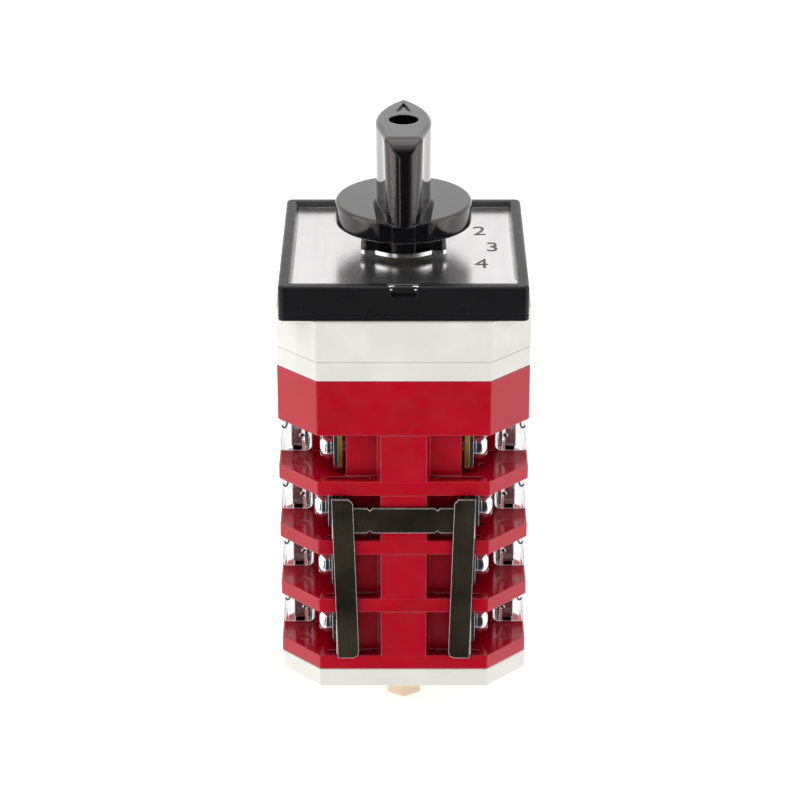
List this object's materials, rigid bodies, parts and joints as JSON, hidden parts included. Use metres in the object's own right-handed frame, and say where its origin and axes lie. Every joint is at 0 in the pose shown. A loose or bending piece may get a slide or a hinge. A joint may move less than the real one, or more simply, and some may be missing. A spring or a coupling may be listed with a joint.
{
  "type": "rotary cam changeover switch",
  "caption": "Panel-mounted rotary cam changeover switch: knob over a square dial, octagonal stack of contact stages with corner terminals, jumper links and a hexagonal shaft tail.",
  "frame": {"origin": "on the shaft axis, in the panel's plane, where the detent housing's front face meets the bezel", "axes": "+Z out of the panel along the shaft, towards the user; +Y towards dial position 0; -Y is the side with the jumper links"},
  "size_m": [0.066, 0.0678, 0.1701],
  "materials": {
    "knob_black": "gloss",
    "bezel_black": "satin",
    "clear_plastic": "clear gloss",
    "dial_metal": "brushed",
    "bright_ring": "polished",
    "beige_plastic": "satin",
    "red_plastic": "satin",
    "terminal_brass": "rolled",
    "screw_plating": "zinc plated",
    "link_plating": "dark plated",
    "spring_steel": "bright",
    "fastener_steel": "zinc plated",
    "shaft_plastic": "satin",
    "cam_plastic": "satin",
    "carriage_plastic": "satin",
    "bridge_copper": "rolled"
  },
  "bodies": {
    "switch_body": {"bezel_frame": "bezel_black", "dial_plate": "dial_metal", "dial_cover": "clear_plastic", "hub_ring": "bright_ring", "detent_housing": "beige_plastic", "detent_cover": "beige_plastic", "stop_ring": "fastener_steel", "spacer_block": "red_plastic", "end_plate": "beige_plastic", "tie_bolts": "fastener_steel", "tie_nuts": "terminal_brass", "left_link": "link_plating", "right_link": "link_plating", "cross_link": "link_plating", "clamp_plates": "screw_plating", "spring_washers": "screw_plating", "terminal_screws": "screw_plating", "detent_spring_left": "spring_steel", "terminals_left": "terminal_brass", "side_covers_left": "clear_plastic", "detent_spring_right": "spring_steel", "terminals_right": "terminal_brass", "side_covers_right": "clear_plastic", "contact_stage_1": "red_plastic", "return_springs_1": "spring_steel", "contact_stage_2": "red_plastic", "return_springs_2": "spring_steel", "contact_stage_3": "red_plastic", "return_springs_3": "spring_steel", "contact_stage_4": "red_plastic", "return_springs_4": "spring_steel"},
    "turning_shaft": {"handle": "knob_black", "handle_collar": "knob_black", "handle_screw": "fastener_steel", "drive_shaft": "shaft_plastic", "star_wheel": "cam_plastic", "cam_1": "cam_plastic", "cam_2": "cam_plastic", "cam_3": "cam_plastic", "cam_4": "cam_plastic"},
    "detent_left": {"detent_plunger_left": "carriage_plastic"},
    "detent_right": {"detent_plunger_right": "carriage_plastic"},
    "contact_front_1": {"carriage_front_1": "carriage_plastic", "contact_bridge_front_1": "bridge_copper"},
    "contact_rear_1": {"carriage_rear_1": "carriage_plastic", "contact_bridge_rear_1": "bridge_copper"},
    "contact_front_2": {"carriage_front_2": "carriage_plastic", "contact_bridge_front_2": "bridge_copper"},
    "contact_rear_2": {"carriage_rear_2": "carriage_plastic", "contact_bridge_rear_2": "bridge_copper"},
    "contact_front_3": {"carriage_front_3": "carriage_plastic", "contact_bridge_front_3": "bridge_copper"},
    "contact_rear_3": {"carriage_rear_3": "carriage_plastic", "contact_bridge_rear_3": "bridge_copper"},
    "contact_front_4": {"carriage_front_4": "carriage_plastic", "contact_bridge_front_4": "bridge_copper"},
    "contact_rear_4": {"carriage_rear_4": "carriage_plastic", "contact_bridge_rear_4": "bridge_copper"}
  },
  "joints": [
    {"name": "handle_turn", "type": "hinge", "parent": "switch_body", "child": "turning_shaft", "pos_m": [0, 0, 0], "axis": [0, 0, 1], "range_deg": [-120, 0]},
    {"name": "detent_left_slide", "type": "slide", "parent": "switch_body", "child": "detent_left", "axis": [-1, 0, 0], "range_m": [0, 0.0009], "stiffness_N_per_m": 1500, "springref_m": -0.002, "deforming": ["detent_spring_left"]},
    {"name": "detent_right_slide", "type": "slide", "parent": "switch_body", "child": "detent_right", "axis": [1, 0, 0], "range_m": [0, 0.0009], "stiffness_N_per_m": 1500, "springref_m": -0.002, "deforming": ["detent_spring_right"]},
    {"name": "contact_front_1_slide", "type": "slide", "parent": "switch_body", "child": "contact_front_1", "axis": [0, -1, 0], "range_m": [0, 0.0008], "stiffness_N_per_m": 1500, "springref_m": -0.003, "deforming": ["return_springs_1"]},
    {"name": "contact_rear_1_slide", "type": "slide", "parent": "switch_body", "child": "contact_rear_1", "axis": [0, 1, 0], "range_m": [0, 0.0008], "stiffness_N_per_m": 1500, "springref_m": -0.003, "deforming": ["return_springs_1"]},
    {"name": "contact_front_2_slide", "type": "slide", "parent": "switch_body", "child": "contact_front_2", "axis": [0, -1, 0], "range_m": [0, 0.0008], "stiffness_N_per_m": 1500, "springref_m": -0.003, "deforming": ["return_springs_2"]},
    {"name": "contact_rear_2_slide", "type": "slide", "parent": "switch_body", "child": "contact_rear_2", "axis": [0, 1, 0], "range_m": [0, 0.0008], "stiffness_N_per_m": 1500, "springref_m": -0.003, "deforming": ["return_springs_2"]},
    {"name": "contact_front_3_slide", "type": "slide", "parent": "switch_body", "child": "contact_front_3", "axis": [0, -1, 0], "range_m": [0, 0.0008], "stiffness_N_per_m": 1500, "springref_m": -0.003, "deforming": ["return_springs_3"]},
    {"name": "contact_rear_3_slide", "type": "slide", "parent": "switch_body", "child": "contact_rear_3", "axis": [0, 1, 0], "range_m": [0, 0.0008], "stiffness_N_per_m": 1500, "springref_m": -0.003, "deforming": ["return_springs_3"]},
    {"name": "contact_front_4_slide", "type": "slide", "parent": "switch_body", "child": "contact_front_4", "axis": [0, -1, 0], "range_m": [0, 0.0008], "stiffness_N_per_m": 1500, "springref_m": -0.003, "deforming": ["return_springs_4"]},
    {"name": "contact_rear_4_slide", "type": "slide", "parent": "switch_body", "child": "contact_rear_4", "axis": [0, 1, 0], "range_m": [0, 0.0008], "stiffness_N_per_m": 1500, "springref_m": -0.003, "deforming": ["return_springs_4"]}
  ]
}
